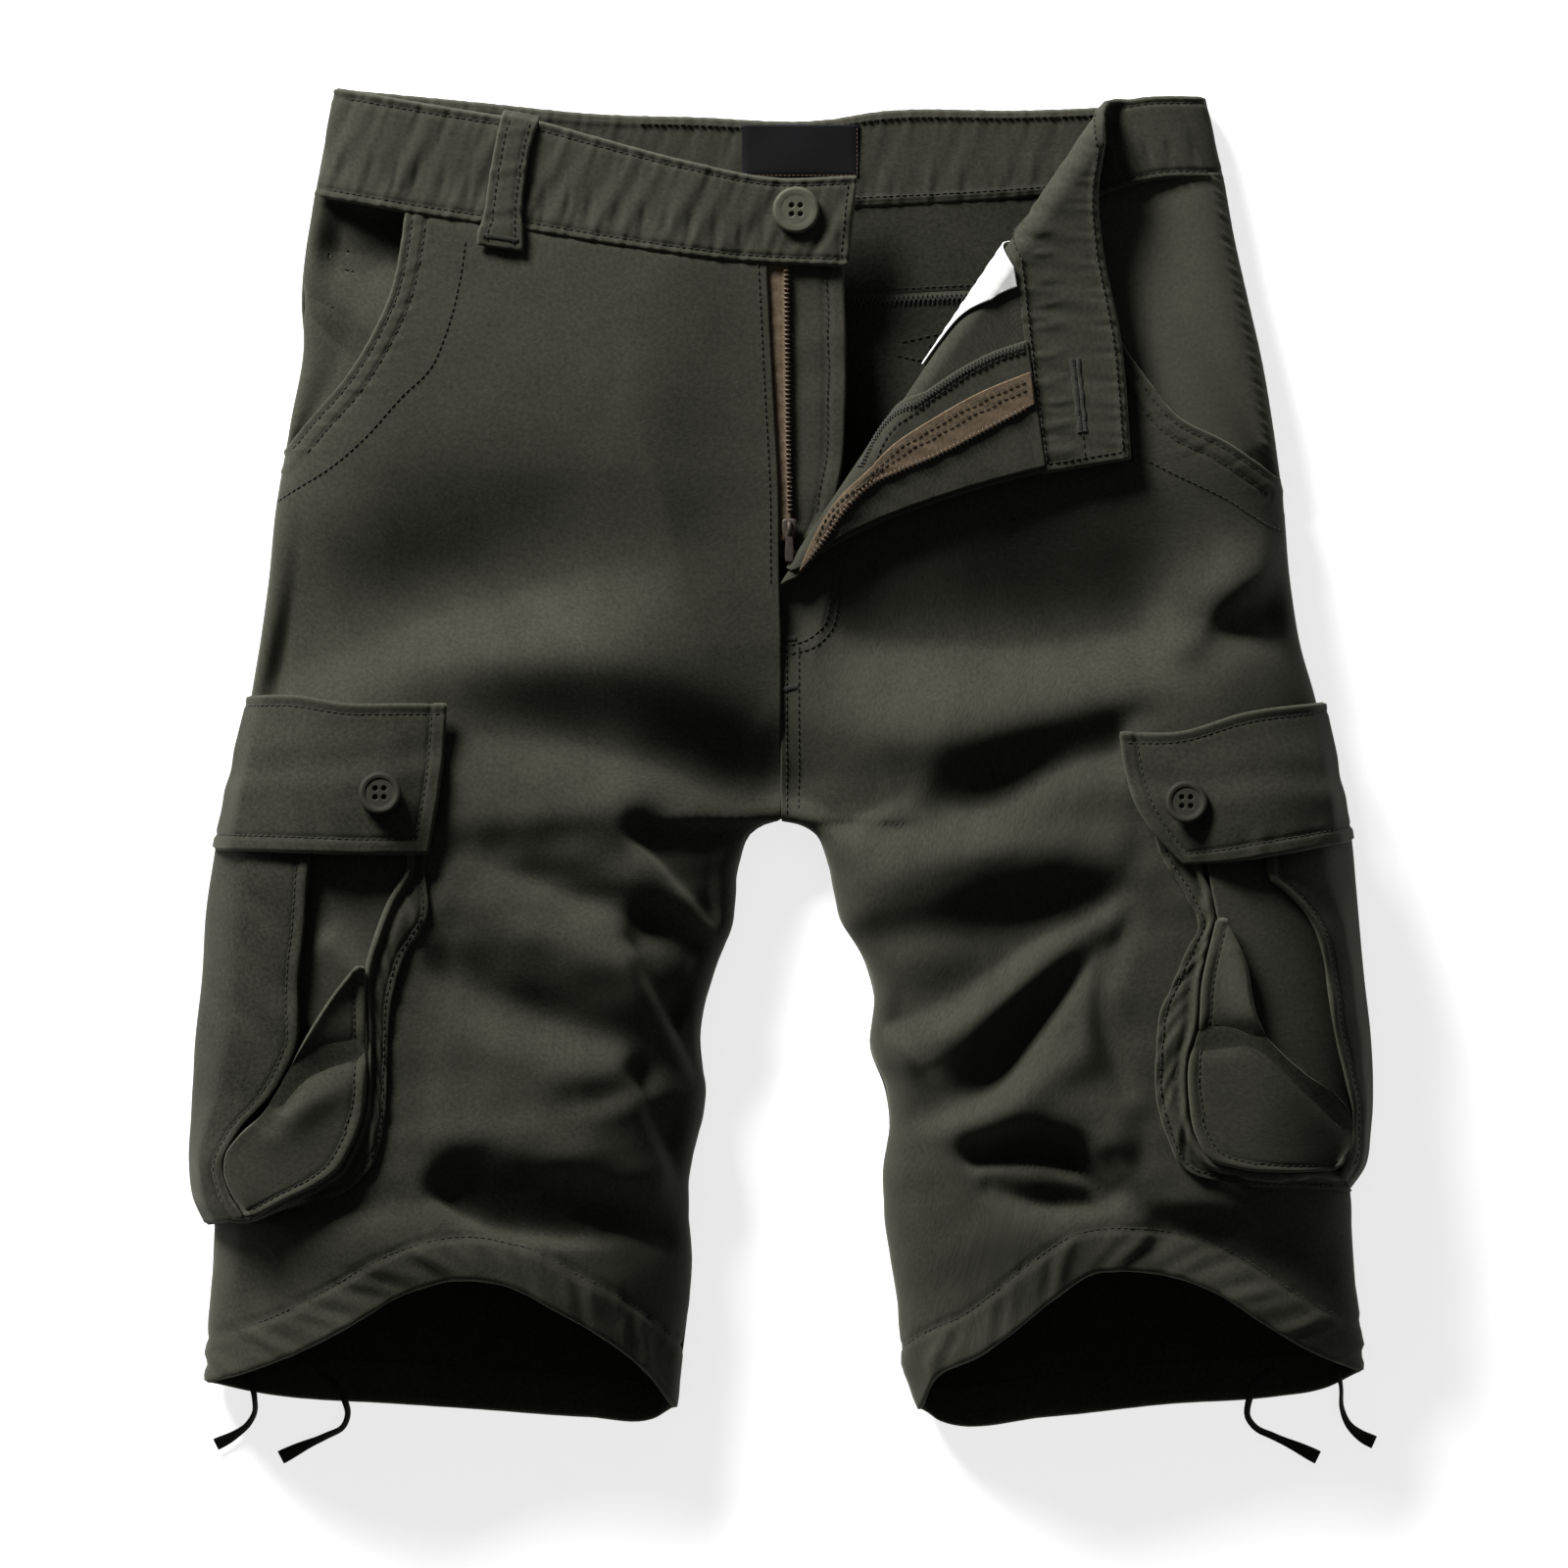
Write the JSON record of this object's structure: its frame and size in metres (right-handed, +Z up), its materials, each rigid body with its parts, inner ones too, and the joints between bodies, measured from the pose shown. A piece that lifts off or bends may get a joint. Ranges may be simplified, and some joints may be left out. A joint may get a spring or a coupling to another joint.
{
  "type": "cargo shorts",
  "caption": "Knee-length twill cargo shorts laid flat, fly corner turned back, with bellows cargo pockets, button flaps and hem drawcords.",
  "frame": {"origin": "on the surface the shorts lie on, under the middle of their box without the drawcords", "axes": "+Y from the hems to the waist, +Z up from the surface through the back to the front, +X to the wearer's left"},
  "size_m": [0.5477, 0.6325, 0.0694],
  "materials": {
    "olive_twill": "washed matt cotton twill, dark olive",
    "pocketing": "plain white pocket lining",
    "zip_tape": "brown woven zip tape",
    "blank_patch": "black satin weave, bare",
    "button_resin": "dark resin, half matt",
    "dark_brass": "darkened brass",
    "cord_tape": "flat black woven tape"
  },
  "bodies": {
    "shorts": {"back_left": "olive_twill", "back_right": "olive_twill", "belt_loop": "olive_twill", "blank_patch": "blank_patch", "cargo_button_left": "button_resin", "cargo_button_right": "button_resin", "cargo_flap_left": "olive_twill", "cargo_flap_right": "olive_twill", "cargo_front_left": "olive_twill", "cargo_front_right": "olive_twill", "cargo_gusset_left": "olive_twill", "cargo_gusset_right": "olive_twill", "cargo_pleat_left": "olive_twill", "cargo_pleat_right": "olive_twill", "cargo_rear_left": "olive_twill", "cargo_rear_right": "olive_twill", "drawcord_left_inner": "cord_tape", "drawcord_left_outer": "cord_tape", "drawcord_right_inner": "cord_tape", "drawcord_right_outer": "cord_tape", "fly_facing": "olive_twill", "fly_shield": "olive_twill", "front_left": "olive_twill", "front_right": "olive_twill", "pocket_bag": "pocketing", "pocket_facing_left": "olive_twill", "pocket_facing_right": "olive_twill", "waist_button": "button_resin", "waistband_back": "olive_twill", "waistband_left": "olive_twill", "waistband_right": "olive_twill", "yoke_left": "olive_twill", "yoke_right": "olive_twill", "zip_slider": "dark_brass", "zip_tape_left": "zip_tape", "zip_tape_right": "zip_tape"},
    "pull_tab": {"zip_pull": "dark_brass"}
  },
  "joints": [
    {"name": "zip_pull_swing", "type": "hinge", "parent": "shorts", "child": "pull_tab", "pos_m": [0.00387, 0.10257, 0.0271], "axis": [-1, 0, 0], "range_deg": [0, 150]}
  ]
}
